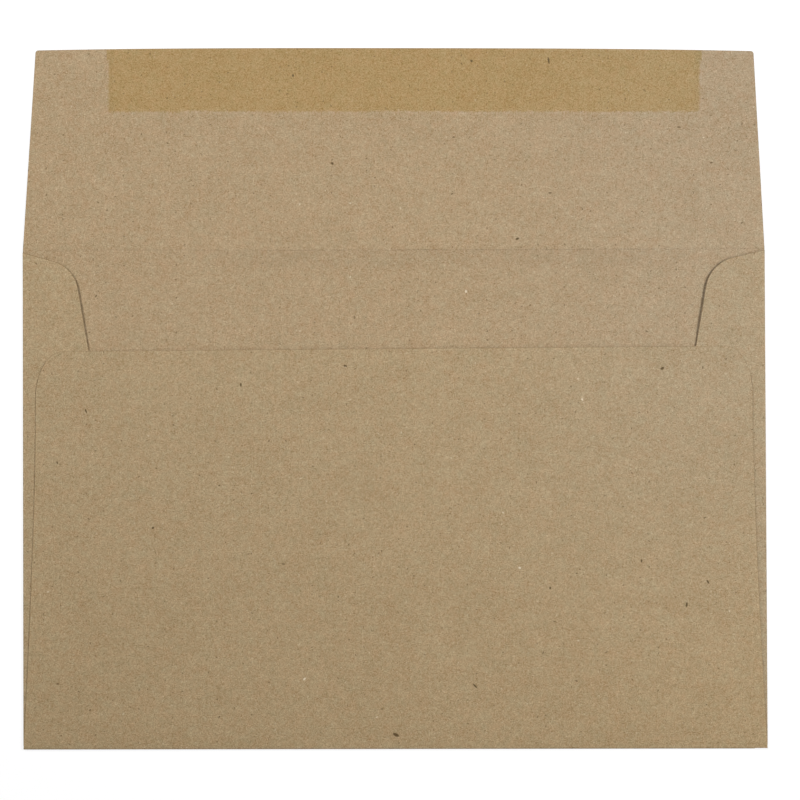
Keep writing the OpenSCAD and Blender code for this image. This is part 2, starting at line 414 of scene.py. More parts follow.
def arc_round(before, corner, after, radius):
    """Points of the arc that rounds the corner between two straight runs."""
    corner = Vector(corner)
    one, two = (Vector(before) - corner).normalized(), (Vector(after) - corner).normalized()
    half = one.angle(two) / 2
    centre = corner + (one + two).normalized() * (radius / math.sin(half))
    start = corner + one * (radius / math.tan(half)) - centre
    end = corner + two * (radius / math.tan(half)) - centre
    first = math.atan2(start.y, start.x)
    turn = math.atan2(start.x * end.y - start.y * end.x, start.dot(end))
    angles = [first + turn * i / ARC_STEPS for i in range(ARC_STEPS + 1)]
    return [(centre.x + radius * math.cos(angle), centre.y + radius * math.sin(angle)) for angle in angles]


Side = namedtuple("Side", "flap_w drop slope r")


class Drawing:
    """Places of the folds and edges, worked out from the sheet's sizes."""

    def __init__(self, s):
        self.s = s
        self.side_r = (2 * s.paper_t + s.fold_gap) / 2
        self.bottom_r = (3 * s.paper_t + s.fold_gap) / 2
        self.side_bend = math.pi * (self.side_r - s.paper_t / 2)
        self.bottom_bend = math.pi * (self.bottom_r - s.paper_t / 2)
        self.bottom_y = -(s.body_h + s.seal_flap_d) / 2
        self.crease_y = self.bottom_y + s.body_h
        self.free_edge_y = self.crease_y + s.seal_flap_d
        self.throat_y = self.crease_y - s.throat_d
        self.fold_start_y = self.bottom_y + self.bottom_r
        self.side_x = s.body_w / 2
        self.panel_x = self.side_x - self.side_r
        self.crease_end_x = self.side_x - s.crease_step
        self.free_end_x = self.crease_end_x - s.seal_flap_lean
        self.left = Side(s.left_flap_w, s.left_shoulder_drop, s.left_shoulder_slope, s.left_shoulder_r)
        self.right = Side(s.right_flap_w, s.right_shoulder_drop, s.right_shoulder_slope, s.right_shoulder_r)
        self.left_shoulder_y = self.crease_y - self.left.drop
        self.right_shoulder_y = self.crease_y - self.right.drop
        self.side_end_y = self.fold_start_y + s.side_flap_end_clear
        self.bow_x = self.side_x - s.bottom_flap_inset - s.seam_w
        self.flap_run = self.throat_y - self.fold_start_y
        self.tip_y = self.fold_start_y - self.bottom_bend - self.flap_run

    def free_edge(self, x):
        return self.free_edge_y - self.s.seal_flap_bow * abs(x / self.free_end_x) ** FREE_EDGE_POWER

    def seal_corner(self):
        inner = self.free_end_x - 2 * self.s.seal_flap_corner_r
        return arc_round((self.crease_end_x, self.crease_y), (self.free_end_x, self.free_edge(self.free_end_x)),
                         (inner, self.free_edge(inner)), self.s.seal_flap_corner_r)

    def side_flap(self, side):
        """Outline of a side flap on the flat blank, from the shoulder's start to the lower end."""
        s, r = self.s, self.side_r
        fall, lean, rise = math.tan(side.slope), math.tan(s.side_edge_lean), math.tan(s.side_flap_end_slope)
        end_y = self.crease_y - self.side_end_y
        shoulder_x = (side.flap_w + (side.drop - r * fall - s.throat_d) * lean) / (1 - fall * lean)
        end_x = (side.flap_w + (end_y + r * rise - s.throat_d) * lean) / (1 + rise * lean)
        start, stop = (r, -side.drop), (r, -end_y)
        shoulder = (shoulder_x, -side.drop - (shoulder_x - r) * fall)
        lower = (end_x, (end_x - r) * rise - end_y)
        path = [start, *arc_round(start, shoulder, lower, side.r),
                *arc_round(shoulder, lower, stop, s.side_flap_end_r), stop]
        return [(self.panel_x + self.side_bend + x - r, self.crease_y + y) for x, y in path]

    def bottom_flap_x(self, y):
        """Half the bottom flap's width at the folded height y."""
        s = self.s
        curve_top = self.throat_y - s.bottom_flap_straight
        run = max(0.0, (curve_top - y) / (curve_top - self.fold_start_y))
        corner = max(0.0, (y - self.throat_y + s.corner_h) / s.corner_h)
        widened = (s.bottom_flap_inset - s.bottom_fold_inset) * run ** FLAP_END_POWER
        rounded = s.corner_w * (1 - math.sqrt(max(0.0, 1 - corner ** 2)))
        return self.side_x - s.bottom_flap_inset + widened - rounded

    def half_blank(self, side):
        """Half of the blank's outline, drawn to the right, from the free edge down to the bottom flap's tip."""
        s = self.s
        bend = [self.panel_x + self.side_bend * i / BEND_STEPS for i in range(BEND_STEPS)]
        fold_x = self.side_x - s.bottom_fold_inset
        corner_y = self.throat_y - s.corner_h
        end_run = corner_y - self.fold_start_y
        ends = [self.fold_start_y + end_run * i / END_STEPS for i in range(1, END_STEPS + 1)]
        turns = [math.pi / 2 * i / CORNER_STEPS for i in range(1, CORNER_STEPS + 1)]
        ends += [corner_y + s.corner_h * math.sin(turn) for turn in turns]
        return [
            *reversed(self.seal_corner()), (self.crease_end_x, self.crease_y),
            (self.crease_end_x, self.crease_y - side.drop + SLIT),
            *((x, self.crease_y - side.drop) for x in bend), *self.side_flap(side),
            *((x, self.side_end_y) for x in reversed(bend)),
            *((fold_x, self.fold_start_y - self.bottom_bend * i / BEND_STEPS) for i in range(BEND_STEPS + 1)),
            *((self.bottom_flap_x(y), self.fold_start_y - self.bottom_bend - (y - self.fold_start_y)) for y in ends),
        ]

    def blank(self):
        """Outline of the whole blank, once round against the clock."""
        right, left = self.half_blank(self.right), self.half_blank(self.left)
        top_x = right[0][0]
        edge = [top_x * (1 - 2 * i / FREE_EDGE_STEPS) for i in range(1, FREE_EDGE_STEPS)]
        left = [(-x, y) for x, y in left]
        return right[::-1] + [(x, self.free_edge(x)) for x in edge] + left


def split_long(outline, step):
    """The closed outline with no stretch longer than step."""
    made = []
    for (ax, ay), (bx, by) in zip(outline, outline[1:] + outline[:1]):
        n = max(1, math.ceil(math.hypot(bx - ax, by - ay) / step))
        made += [(ax + (bx - ax) * i / n, ay + (by - ay) * i / n) for i in range(n)]
    return made


def edge_distance(points, outline):
    """Distance of each point from the closed outline."""
    a = np.array(outline)
    b = np.roll(a, -1, axis=0)
    run = b - a
    size = np.maximum((run ** 2).sum(1), 1e-18)
    nearest = np.full(len(points), np.inf)
    for start in range(0, len(points), POINTS_AT_ONCE):
        stop = start + POINTS_AT_ONCE
        p = points[start:stop, None]
        t = np.clip(((p - a) * run).sum(2) / size, 0, 1)
        d = p - (a + run * t[..., None])
        nearest[start:stop] = np.sqrt((d ** 2).sum(2).min(1))
    return nearest


def inside(points, outline):
    """Whether each point lies within the closed outline."""
    a = np.array(outline)
    b = np.roll(a, -1, axis=0)
    found = np.zeros(len(points), bool)
    for (ax, ay), (bx, by) in zip(a, b):
        if ay == by:
            continue
        crosses = (ay > points[:, 1]) != (by > points[:, 1])
        found ^= crosses & (points[:, 0] < (bx - ax) * (points[:, 1] - ay) / (by - ay) + ax)
    return found


def offset_ring(outline, distance):
    """The outline's points moved inwards, for an outline that runs against the clock."""
    p = np.array(outline)
    along = np.roll(p, -1, axis=0) - np.roll(p, 1, axis=0)
    along /= np.maximum(np.linalg.norm(along, axis=1), 1e-12)[:, None]
    return p + np.c_[-along[:, 1], along[:, 0]] * distance


def plate(name, outline, inner, layers):
    """A thin flat plate within the outline. layers gives the depth of the lower and the upper face at a point."""
    outline = np.array(outline)
    inner = inner[inside(inner, outline)]
    flat = np.vstack([outline, inner])
    rim = len(outline)
    points, _, faces, *_ = delaunay_2d_cdt([Vector(p / MM) for p in flat], [], [list(range(rim))], 1, 1e-5, True)
    flat = np.array([(p.x, p.y) for p in points]) * MM
    tri = np.array(faces)
    tri = tri[inside(flat[tri].mean(axis=1), outline)]
    a, b, c = flat[tri[:, 0]], flat[tri[:, 1]], flat[tri[:, 2]]
    turned = (b[:, 0] - a[:, 0]) * (c[:, 1] - a[:, 1]) - (b[:, 1] - a[:, 1]) * (c[:, 0] - a[:, 0]) < 0
    tri[turned] = tri[turned][:, ::-1]
    edges = dict.fromkeys(pair for i, j, k in tri for pair in ((i, j), (j, k), (k, i)))
    border = [(i, j) for i, j in edges if (j, i) not in edges]
    distance = edge_distance(flat, outline)
    low, high = layers(flat, distance)
    n = len(flat)
    blank = np.vstack([np.c_[flat, low], np.c_[flat, high]])
    polygons = [tuple(f[::-1]) for f in tri] + [tuple(f + n) for f in tri]
    polygons += [(i, j, j + n, i + n) for i, j in border]
    mesh = bpy.data.meshes.new(name)
    mesh.from_pydata(blank.tolist(), [], [tuple(int(k) for k in f) for f in polygons])
    place = mesh.attributes.new("blank", "FLOAT_VECTOR", "POINT")
    place.data.foreach_set("vector", blank.astype(np.float32).ravel())
    edge = mesh.attributes.new("edge", "FLOAT", "POINT")
    edge.data.foreach_set("value", np.tile(distance, 2).astype(np.float32))
    mesh.update()
    if mesh.validate(verbose=True):
        raise RuntimeError("the flat blank of %s has faulty faces" % name)
    return new_object(name, mesh)


def sheet_blank(d):
    """Flat blank of the whole sheet, with extra lines of points where it will bend."""
    s = d.s
    bend = [i / BEND_STEPS for i in range(BEND_STEPS + 1)]
    flap_x = d.panel_x + d.side_bend
    us = np.arange(-d.panel_x + GRID, d.panel_x - GRID / 2, GRID)
    vs = np.r_[np.arange(d.tip_y + GRID, d.fold_start_y - d.bottom_bend - OFF_FOLD, GRID),
               np.arange(d.fold_start_y + OFF_FOLD, d.crease_y - OFF_FOLD, GRID),
               np.arange(d.crease_y + OFF_FOLD, d.free_edge_y, GRID)]
    fold_v = [d.fold_start_y - d.bottom_bend * k for k in bend]
    fold_v += [d.fold_start_y + k for k in NEAR_FOLD] + [d.fold_start_y - d.bottom_bend - k for k in NEAR_FOLD]
    crease_v = [d.crease_y + s.score_w * k for k in NEAR_CREASE]
    vs = np.r_[vs, fold_v, crease_v]
    grid = [(u, v) for u in us for v in vs]
    side_vs = [v for v in vs if d.side_end_y < v < d.crease_y]
    side_us = [d.panel_x + d.side_bend * k for k in bend]
    side_us += [d.panel_x - k for k in NEAR_FOLD] + [flap_x + k for k in NEAR_FOLD]
    side_us += list(np.arange(flap_x + OFF_FOLD, flap_x + SIDE_FLAP_REACH, GRID))
    grid += [(sign * u, v) for sign in (-1, 1) for u in side_us for v in side_vs]
    outline = split_long(d.blank(), GRID)
    grid = np.array(grid)
    grid = grid[edge_distance(grid, outline) > 2 * EDGE_BAND]
    rings = []
    for band in EDGE_RINGS:
        ring = offset_ring(outline, band)
        ring = ring[edge_distance(ring, outline) > RING_KEPT * band]
        near_bend = (np.abs(ring[:, 0]) > d.panel_x - band) & (np.abs(ring[:, 0]) < flap_x + band)
        rings.append(ring[~near_bend])
    return plate("envelope_paper", outline, np.vstack([grid, *rings]),
                 lambda flat, _: (np.zeros(len(flat)), np.full(len(flat), s.paper_t)))


def gum_blank(d, g):
    """Flat gum band on the inner side, thinner at its wandering border."""
    reach = (g.gum_w + g.border_fade) / 2
    left, right = g.gum_shift - reach, g.gum_shift + reach
    low, step = d.free_edge_y - g.gum_d - g.border_fade / 2, GUM_STEP

    def wander(along, seed):
        slow = noise.noise(Vector((along / WANDER_SLOW, seed, 0)))
        quick = noise.noise(Vector((along / WANDER_QUICK, seed, 5)))
        return g.border_wander * (slow + QUICK_SHARE * quick)

    xs = np.arange(left, right + step / 2, step)
    bottom = [(x, low + wander(x, 1.5)) for x in xs]
    heights = np.arange(low + step, d.free_edge(right) - step, step)
    right_side = [(right + END_WANDER * wander(y, 3.5), y) for y in heights]
    top = [(x, d.free_edge(x) - GUM_CLEAR) for x in reversed(xs)]
    left_side = [(left + END_WANDER * wander(y, 7.5), y) for y in reversed(heights)]
    outline = bottom + right_side + top + left_side
    grid = np.array([(x, y) for x in np.arange(left, right, GRID) for y in np.arange(low, d.free_edge_y, GRID)])
    grid = grid[edge_distance(grid, outline) > GUM_GRID_CLEAR]
    rings = [offset_ring(outline, k) for k in GUM_RINGS]
    rings = [r[edge_distance(r, outline) > RING_KEPT * k] for r, k in zip(rings, GUM_RINGS)]

    def layers(flat, distance):
        rise = np.clip(distance / GUM_THIN, 0, 1)
        top_w = d.s.paper_t + g.gum_t * (GUM_RIM_T + (1 - GUM_RIM_T) * rise * rise * (3 - 2 * rise))
        return np.full(len(flat), d.s.paper_t - GUM_SUNK), top_w

    return plate("gum_band", outline, np.vstack([grid, *rings]), layers)


# What the folding tree takes of the sheet's sizes and of the drawing's places
SHEET_INPUTS = ("paper_t", "throat_bow", "score_w", "score_d")
DRAWING_INPUTS = ("panel_x", "side_r", "side_end_y", "left_shoulder_y", "right_shoulder_y", "fold_start_y",
                  "bottom_r", "crease_y", "free_edge_y", "throat_y", "bow_x")


def fold_tree(values):
    """The geometry tree that folds a flat blank. values gives each named input's value."""
    tree = bpy.data.node_groups.new("fold_blank", "GeometryNodeTree")
    tree.interface.new_socket("Geometry", in_out="INPUT", socket_type="NodeSocketGeometry")
    for name in values:
        made = tree.interface.new_socket(name, in_out="INPUT", socket_type="NodeSocketFloat")
        made.subtype = "DISTANCE"
    tree.interface.new_socket("Material", in_out="INPUT", socket_type="NodeSocketMaterial")
    tree.interface.new_socket("Geometry", in_out="OUTPUT", socket_type="NodeSocketGeometry")
    g = Graph(tree)
    given = tree.nodes.new("NodeGroupInput")
    of = SimpleNamespace(**{socket.name: Wire(g, socket) for socket in given.outputs if socket.name})
    blank = g.add("GeometryNodeInputNamedAttribute", {"data_type": "FLOAT_VECTOR"}, {"Name": "blank"})
    u, v, w = g.outputs("ShaderNodeSeparateXYZ", inputs={0: blank})

    def rolled(run, radius):
        """A run past a fold: how far out and up it reaches, what's beyond the half round, and how far it's over."""
        middle_r = radius - of.paper_t * 0.5
        turn = (run / middle_r).at_most(math.pi)
        beyond = (run - middle_r * math.pi).at_least(0.0)
        cosine = turn.math("COSINE")
        return (radius - w) * turn.math("SINE"), (radius - w) * cosine, beyond, (1 - cosine) * 0.5

    # Side folds: the run past the fold turns through half a round and comes back over the face panel
    side = u.math("SIGN")
    out = abs(u)
    shoulder = of.right_shoulder_y + (of.left_shoulder_y - of.right_shoulder_y) * (side < 0.0)
    on_flap = (v > of.side_end_y - FOLD_SLACK) * (v < shoulder + FOLD_SLACK)
    run = (out - of.panel_x).at_least(0.0) * on_flap
    reach, level, back, over_side = rolled(run, of.side_r)
    x = side * (out - run + reach - back)
    z = of.side_r - level

    # Bottom fold
    drop = (of.fold_start_y - v).at_least(0.0)
    reach, level, up, over_bottom = rolled(drop, of.bottom_r)
    y = v + drop - reach + up
    z = z + of.bottom_r - level - w
    climb = up / (of.throat_y - of.fold_start_y)

    # Bow of the bottom flap between its seams
    across = (abs(x) / of.bow_x).at_most(1.0)
    arch = (1 + (across * math.pi).math("COSINE")) * 0.5
    z = z + of.throat_bow * arch * g.step(climb, 0.0, 1.0)

    # Rim of the bottom flap's ends, outside the glue
    edge = g.add("GeometryNodeInputNamedAttribute", {"data_type": "FLOAT"}, {"Name": "edge"})
    z = z + of.flap_lip * (edge / -LIP_REACH).math("EXPONENT") * (1 - arch) * g.step(climb, 0.0, LIP_START)

    # Layers that spring apart behind the bottom fold, and inner edges that stand up in the throat
    lifted = over_side.at_least(over_bottom)
    behind = (y - of.fold_start_y).at_least(0.0)
    z = z + of.fold_spring * lifted * (1 - (behind / -SPRING_REACH).math("EXPONENT"))
    in_throat = g.step(y, of.throat_y + LIFT_FROM, of.throat_y + LIFT_TO)
    lift = of.left_lift + (of.right_lift - of.left_lift) * (side > 0.0)
    hold_from, hold_to = of.crease_y - CREASE_HOLDS_FROM, of.crease_y - CREASE_HOLDS_TO
    near_crease = g.step(y, hold_from, hold_to, 1.0, CREASE_HOLDS)
    z = z + lift * in_throat * near_crease * g.step(back, 0.0, LIFT_RUN)

    # Score line, and the soft ridge on either side of it
    past = v - of.crease_y
    groove = (past * 2.0 / of.score_w).math("POWER", 2.0)
    z = z - of.score_d * (1 - groove).at_least(0.0) * (w / of.paper_t)
    below = (y - of.crease_y).at_most(0.0)
    above = (y - of.crease_y).at_least(0.0)
    ridge = (below / RIDGE_REACH).math("EXPONENT") * g.step(above, 0.0, RIDGE_FADE, 1.0, 0.0)
    z = z + of.crease_ridge * ridge

    # The hand's small skews
    body = ((y - of.fold_start_y) / (of.crease_y - of.fold_start_y)).at_least(0.0)
    flap = (above / (of.free_edge_y - of.crease_y)).at_most(1.0)
    tent = body.at_most(1.0) - flap
    share = x / of.panel_x
    y = y + share * 0.5 * (of.crease_rise * tent - of.free_edge_fall * flap + of.throat_rise * climb)
    x = x - share.at_least(0.0) * of.right_pull * tent

    # Slow waves of the whole stack
    slow = g.add("ShaderNodeTexNoise", {"noise_dimensions": "2D"},
                 {"Vector": g.vector(x, y), "Scale": WAVES_PER_METRE, "Detail": 1.0, "Roughness": 0.4})
    z = z + of.wave * slow

    moved = g.add("GeometryNodeSetPosition", inputs={"Geometry": of.Geometry, "Position": g.vector(x, y, z)})
    whole = g.add("GeometryNodeRealizeInstances", inputs={0: moved})
    dressed = g.add("GeometryNodeSetMaterial", inputs={"Geometry": whole, "Material": of.Material})
    result = tree.nodes.new("NodeGroupOutput")
    tree.links.new(dressed.socket, result.inputs[0])
    return tree


def fold(made, material, d, hand):
    """Folds a flat blank, and leaves it as a plain mesh."""
    values = {key: getattr(d.s, key) for key in SHEET_INPUTS}
    values |= {key: getattr(d, key) for key in DRAWING_INPUTS}
    values |= {key: getattr(hand, key) for key in EnvelopeHandFolding.__annotations__}
    tree = bpy.data.node_groups.get("fold_blank") or fold_tree(values)
    modifier = made.modifiers.new("fold", "NODES")
    modifier.node_group = tree
    sockets = {item.name: item.identifier for item in tree.interface.items_tree if item.in_out == "INPUT"}
    for name, value in values.items():
        modifier[sockets[name]] = value
    modifier[sockets["Material"]] = material
    graph = bpy.context.evaluated_depsgraph_get()
    mesh = bpy.data.meshes.new_from_object(made.evaluated_get(graph), preserve_all_data_layers=True, depsgraph=graph)
    made.modifiers.remove(modifier)
    made.data = mesh
    mesh.name = made.name
    mesh.polygons.foreach_set("use_smooth", np.ones(len(mesh.polygons), bool))
    mesh.set_sharp_from_angle(angle=SHARP)
    return made


def noise_at(g, place, period, seed):
    """Fine noise around nothing, from about -1 to 1, with that period in metres."""
    moved = g.vector_math("ADD", place, (0, 0, seed))
    value = g.add("ShaderNodeTexNoise", inputs={"Vector": moved, "Scale": 1 / period, "Detail": 0.0})
    return (value - 0.5) * 4.0


def flecks(g, place, cell, share, long, wide, soft, strength, seed):
    """Scattered oblong flecks, one at most in a cell, each turned, sized and darkened at random."""
    shifted = g.vector_math("ADD", place, (seed, -seed, 0))
    cells = g.node("ShaderNodeTexVoronoi", {"voronoi_dimensions": "2D"}, {"Vector": shifted, "Scale": 1 / cell})
    chance, size, angle = g.outputs("ShaderNodeSeparateColor", inputs={0: Wire(g, cells.outputs["Color"])})
    middle = Wire(g, cells.outputs["Position"])
    away = g.vector_math("SUBTRACT", shifted, middle)
    turned = g.add("ShaderNodeVectorRotate", {"rotation_type": "Z_AXIS"},
                   {"Vector": away, "Angle": angle * (2 * math.pi)})
    x, y, _ = g.outputs("ShaderNodeSeparateXYZ", inputs={0: turned})
    scale = SMALLEST + size * (1 - SMALLEST)
    along, across = x / long, y / wide
    reach = (along * along + across * across).math("SQRT") / scale
    darkness = (chance < share) * (FAINTEST + chance * ((1 - FAINTEST) / share))
    return g.step(reach, 1.0 - soft, 1.0 + soft, 1.0, 0.0) * darkness * strength


def paper_place(g, paper_t):
    """The place with the sides apart, the blank's u and v, the side, 1 inside, and how far the edge is."""
    blank = g.add("ShaderNodeAttribute", {"attribute_name": "blank"}, output=1)
    u, v, w = g.outputs("ShaderNodeSeparateXYZ", inputs={0: blank})
    inner = w > paper_t / 2
    edge = g.add("ShaderNodeAttribute", {"attribute_name": "edge"}, output=2)
    return g.vector(u + inner * SIDES_APART, v), u, v, inner, edge


def mix(g, factor, first, second):
    """Mixes two colours, each a wire or a plain red, green and blue."""
    first, second = (tint if isinstance(tint, Wire) else (*tint, 1.0) for tint in (first, second))
    return g.add("ShaderNodeMix", {"data_type": "RGBA"}, {"Factor": factor, 6: first, 7: second}, output=2)


def banded(g, place, bands, strength):
    """The sum of some bands of noise around 0."""
    return sum(noise_at(g, place, period, seed) * (share * strength) for period, share, seed in bands)


def mottled(g, place, tint, mottle, look, blue):
    """The tint with the mottling, which is stronger in blue than in red, and with a faint drift of its hue."""
    drift = banded(g, place, HUE_BANDS, look.hue_drift)
    red = 1 + mottle * MOTTLE_RED + drift * HUE_RED
    spread = g.vector(red, 1 + mottle - drift * HUE_GREEN, 1 + mottle * blue - drift)
    return g.vector_math("MULTIPLY", tint, spread)


def toned(g, tint, d, u, v, inner, look):
    """The tint, cooler towards the right, warmer down the bottom flap, and with painted shading inside: lighter at
    the throat and darker up the seal flap.
    """
    right = g.step(u, 0.0, d.side_x)
    low = g.step(v, d.tip_y, d.fold_start_y) * (v < d.fold_start_y) * (1 - inner)
    cool = (right * (1 - low) - low * WARM_BELOW) * look.tone_and_shade_drift
    # Painted shading on the inside: lighter at the throat and darker towards the free edge
    painted_light_fall = g.step(v, d.throat_y, d.free_edge_y, -0.5, 0.5) * inner * look.tone_and_shade_drift
    change = g.vector(1 - painted_light_fall - cool, 1 - painted_light_fall - cool * COOL_GREEN, 1 - painted_light_fall + cool * COOL_BLUE)
    return g.vector_math("MULTIPLY", tint, change)


def surface(tint, mottle, finish, tooth, dark=0.0):
    """A plain shader on the tree that the wires belong to."""
    g = tint.graph
    height = mottle * finish.relief + dark * FLECK_RELIEF
    roughness = finish.roughness + mottle * finish.varied - dark * FLECK_SMOOTHNESS
    bump = g.add("ShaderNodeBump", inputs={"Strength": tooth, "Distance": BUMP_HEIGHT, "Height": height})
    shader = g.node("ShaderNodeBsdfPrincipled", inputs={
        "Base Color": tint, "Roughness": roughness, "Normal": bump, "IOR": PAPER_IOR,
        "Specular IOR Level": finish.specular, "Coat Weight": finish.coat, "Coat Roughness": COAT_ROUGHNESS})
    g.end("ShaderNodeOutputMaterial", shader)


def empty_graph(owner):
    """The cleared node tree of a material or a world."""
    owner.use_nodes = True
    owner.node_tree.nodes.clear()
    return Graph(owner.node_tree)


def new_material(name):
    material = bpy.data.materials.new(name)
    return material, empty_graph(material)


def photo_place(d, hand, px, py):
    """The place on the blank under a point of the photograph, and 1 or -1 as the blank's y runs with it."""
    right, down = (px - PHOTO_SIDE / 2) / PIXELS_PER_METRE, (py - PHOTO_SIDE / 2) / PIXELS_PER_METRE
    x = LOOKED_AT[0] + right + down * CAMERA_ROLL
    y = LOOKED_AT[1] - down + right * CAMERA_ROLL
    body = min(1.0, (y - d.fold_start_y) / (d.crease_y - d.fold_start_y))
    flap = max(0.0, (y - d.crease_y) / (d.free_edge_y - d.crease_y))
    climb = (y - d.fold_start_y) / d.flap_run if y < d.throat_y else 0.0
    rise = hand.crease_rise * (body - flap) - hand.free_edge_fall * flap + hand.throat_rise * climb
    y -= 0.5 * rise * x / d.panel_x
    x += max(0.0, x / d.panel_x) * hand.right_pull * (body - flap)
    if y < d.throat_y:
        return (x, 2 * d.fold_start_y - d.bottom_bend - y, 0), -1
    return (x + SIDES_APART, y, 0), 1


def fleck_mask(g, place, d, hand, marks, strength, kinds):
    """The strongest of the flecks that the photograph shows at the marks and of those scattered in all kinds."""
    total = 0.0
    for px, py, long, wide, turn in marks:
        middle, way = photo_place(d, hand, px, py)
        away = g.vector_math("SUBTRACT", place, middle)
        turned = g.add("ShaderNodeVectorRotate", {"rotation_type": "Z_AXIS"},
                       {"Vector": away, "Angle": -way * math.radians(turn)})
        reach = g.vector_math("MULTIPLY", turned, (2 * PIXELS_PER_METRE / long, 2 * PIXELS_PER_METRE / wide, 0))
        far = g.add("ShaderNodeVectorMath", {"operation": "LENGTH"}, {0: reach}, output=1)
        total = g.step(far, SEEN_CORE, SEEN_RIM, strength, 0.0).at_least(total)
    for kind in kinds:
        total = flecks(g, place, *kind).at_least(total)
    return total


def flecked(g, tint, dark, light, look):
    return mix(g, light, mix(g, dark, tint, look.fleck), look.fibre)


def along_crease(g, u, d, span):
    """Fades a mark of the crease towards its two ends."""
    (left_end, left, leaves_left), (right, right_end, leaves_right) = span
    at_left = g.step(u, left_end * d.side_x, left * d.side_x, leaves_left, 1.0)
    return at_left * g.step(u, right * d.side_x, right_end * d.side_x, 1.0, leaves_right)


def kraft_material(d, hand, look):
    """Uncoated brown kraft: mottled pulp, bark flecks, pale fibres, a crease line of painted shade and wear, painted
    shade below the crease and along the cut edges, and painted highlights along the cut edges and the side folds.
    """
    material, g = new_material("kraft_paper")
    place, u, v, inner, edge = paper_place(g, d.s.paper_t)
    mottle = banded(g, place, PULP_BANDS, look.mottle)
    dark = fleck_mask(g, place, d, hand, DARK_ON_KRAFT, SEEN_DARK, DARK_FLECKS)
    light = fleck_mask(g, place, d, hand, LIGHT_ON_KRAFT, SEEN_LIGHT, LIGHT_FLECKS)
    base = mix(g, inner, look.outer, look.inner)
    tint = toned(g, mottled(g, place, base, mottle, look, KRAFT_BLUE), d, u, v, inner, look)
    below = d.crease_y - v
    worn = WEAR_LEAVES + noise_at(g, place, WEAR_PERIOD, WEAR_SEED) * (1 - WEAR_LEAVES)
    # The crease line: painted shade in the crease together with its worn fibres, fading in places along it
    line = g.mark(abs(below), *CREASE_SHADE_AND_WEAR) * worn * along_crease(g, u, d, LINE_SPAN) * inner
    # Painted shade in a band below the crease, on the inside
    painted_shade_below_crease = g.mark(below, *SHADE_BELOW_CREASE) * (below > 0.0) * along_crease(g, u, d, SHADE_BELOW_SPAN) * inner
    # A painted shadow line along the left shoulder's cut edge, below the crease
    left_shoulder_shadow = (u < -d.panel_x) * (below < SHOULDER_SHADOW_DOWN)
    # Painted shade along every cut edge, towards the cut edge colour
    cut = g.mark(edge, *EDGE_SHADE_RIM) * (EDGE_SHADE_SHARE + left_shoulder_shadow * SHOULDER_SHADOW_MORE)
    # Distance from the side folds' bends, for the painted highlight along them
    from_fold = abs(abs(u) - d.panel_x - d.side_bend / 2) - d.side_bend / 2
    # The painted shade and highlights as one factor on the tint, with a painted highlight along the cut edges and
    # along the side folds
    shade = 1 - line - painted_shade_below_crease + g.mark(edge, *EDGE_HIGHLIGHT_RIM) + g.mark(from_fold, *FOLD_HIGHLIGHT)
    tint = mix(g, cut, g.vector_math("MULTIPLY", tint, shade), look.cut)
    surface(flecked(g, tint, dark, light, look), mottle, KRAFT_FINISH, look.tooth, dark)
    return material


def gum_material(d, hand, gum, look):
    """Dried gum over the kraft, whose flecks show through. It is darker at both ends and thins out at its border."""
    material, g = new_material("seal_gum")
    place, u, v, inner, edge = paper_place(g, d.s.paper_t)
    mottle = banded(g, place, PULP_BANDS, look.mottle)
    dark = fleck_mask(g, place, d, hand, DARK_ON_GUM, SEEN_DARK, DARK_FLECKS)
    light = fleck_mask(g, place, d, hand, (), SEEN_LIGHT, LIGHT_FLECKS)
    from_end = gum.gum_w / 2 - abs(u - gum.gum_shift)
    rim = g.step(from_end, RIM_CORE * gum.rim_w, gum.rim_w, RIM_SHARE, 0.0)
    tint = mix(g, rim, look.gum, look.gum_rim)
    at_free_edge = g.step(v, d.free_edge_y - FULL_COAT_FROM, d.free_edge_y - FULL_COAT_TO)
    ragged = edge + noise_at(g, place, RAGGED_PERIOD, RAGGED_SEED) * (RAGGED_SHARE * gum.border_fade)
    coat = g.step(ragged, 0.0, gum.border_fade).at_least(at_free_edge)
    tint = mix(g, coat, look.inner, tint)
    tint = toned(g, mottled(g, place, tint, mottle, look, GUM_BLUE), d, u, v, inner, look)
    surface(flecked(g, tint, dark, light * LIGHT_THROUGH_GUM, look), mottle, GUM_FINISH, look.tooth)
    return material


class ENVELOPE_OT_fold_sheet(Operator):
    """Cut the flat blank of the sheet and fold it into the open envelope"""

    bl_idname = "envelope.fold_sheet"
    bl_label = "Fold the sheet"

    def execute(self, context):
        scene = context.scene
        drawing, hand = Drawing(scene.envelope_sheet), scene.envelope_hand
        paper = fold(sheet_blank(drawing), kraft_material(drawing, hand, scene.envelope_look), drawing, hand)
        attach(paper, "root")
        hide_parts("envelope_sheet")
        return {"FINISHED"}


class ENVELOPE_OT_coat_gum(Operator):
    """Coat the band of gum along the seal flap's free edge"""

    bl_idname = "envelope.coat_gum"
    bl_label = "Coat the gum band"

    def execute(self, context):
        scene = context.scene
        drawing, hand, gum = Drawing(scene.envelope_sheet), scene.envelope_hand, scene.envelope_gum
        band = fold(gum_blank(drawing, gum), gum_material(drawing, hand, gum, scene.envelope_look), drawing, hand)
        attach(band, "root")
        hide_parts("seal_gum")
        return {"FINISHED"}


RAYS_THAT_SEE = ("Is Camera Ray", "Is Glossy Ray", "Is Transmission Ray")
WHITE = (1, 1, 1, 1)
PALE_GREY = (0.8, 0.8, 0.8, 1)
FLOOR_GLOW = 1.08
SHADOW_SHARE = 0.25
FLOOR_HALF = 1.5
FLOOR_CLEAR = 0.05 * MM
LAMP_SAMPLES = 9
# Each lamp's name, place, the point it faces, and the measure of its share
LAMPS = (
    ("right_lamp", (0.354, 0.08, 0.421), (0, 0.08, 0), "right_share"),
    ("left_lamp", (-0.354, 0.31, 0.421), (0, 0.31, 0), "left_share"),
    ("front_lamp", (0, -0.50, 0.60), (0, 0, 0), "front_share"),
)
CLIP_START = 0.01


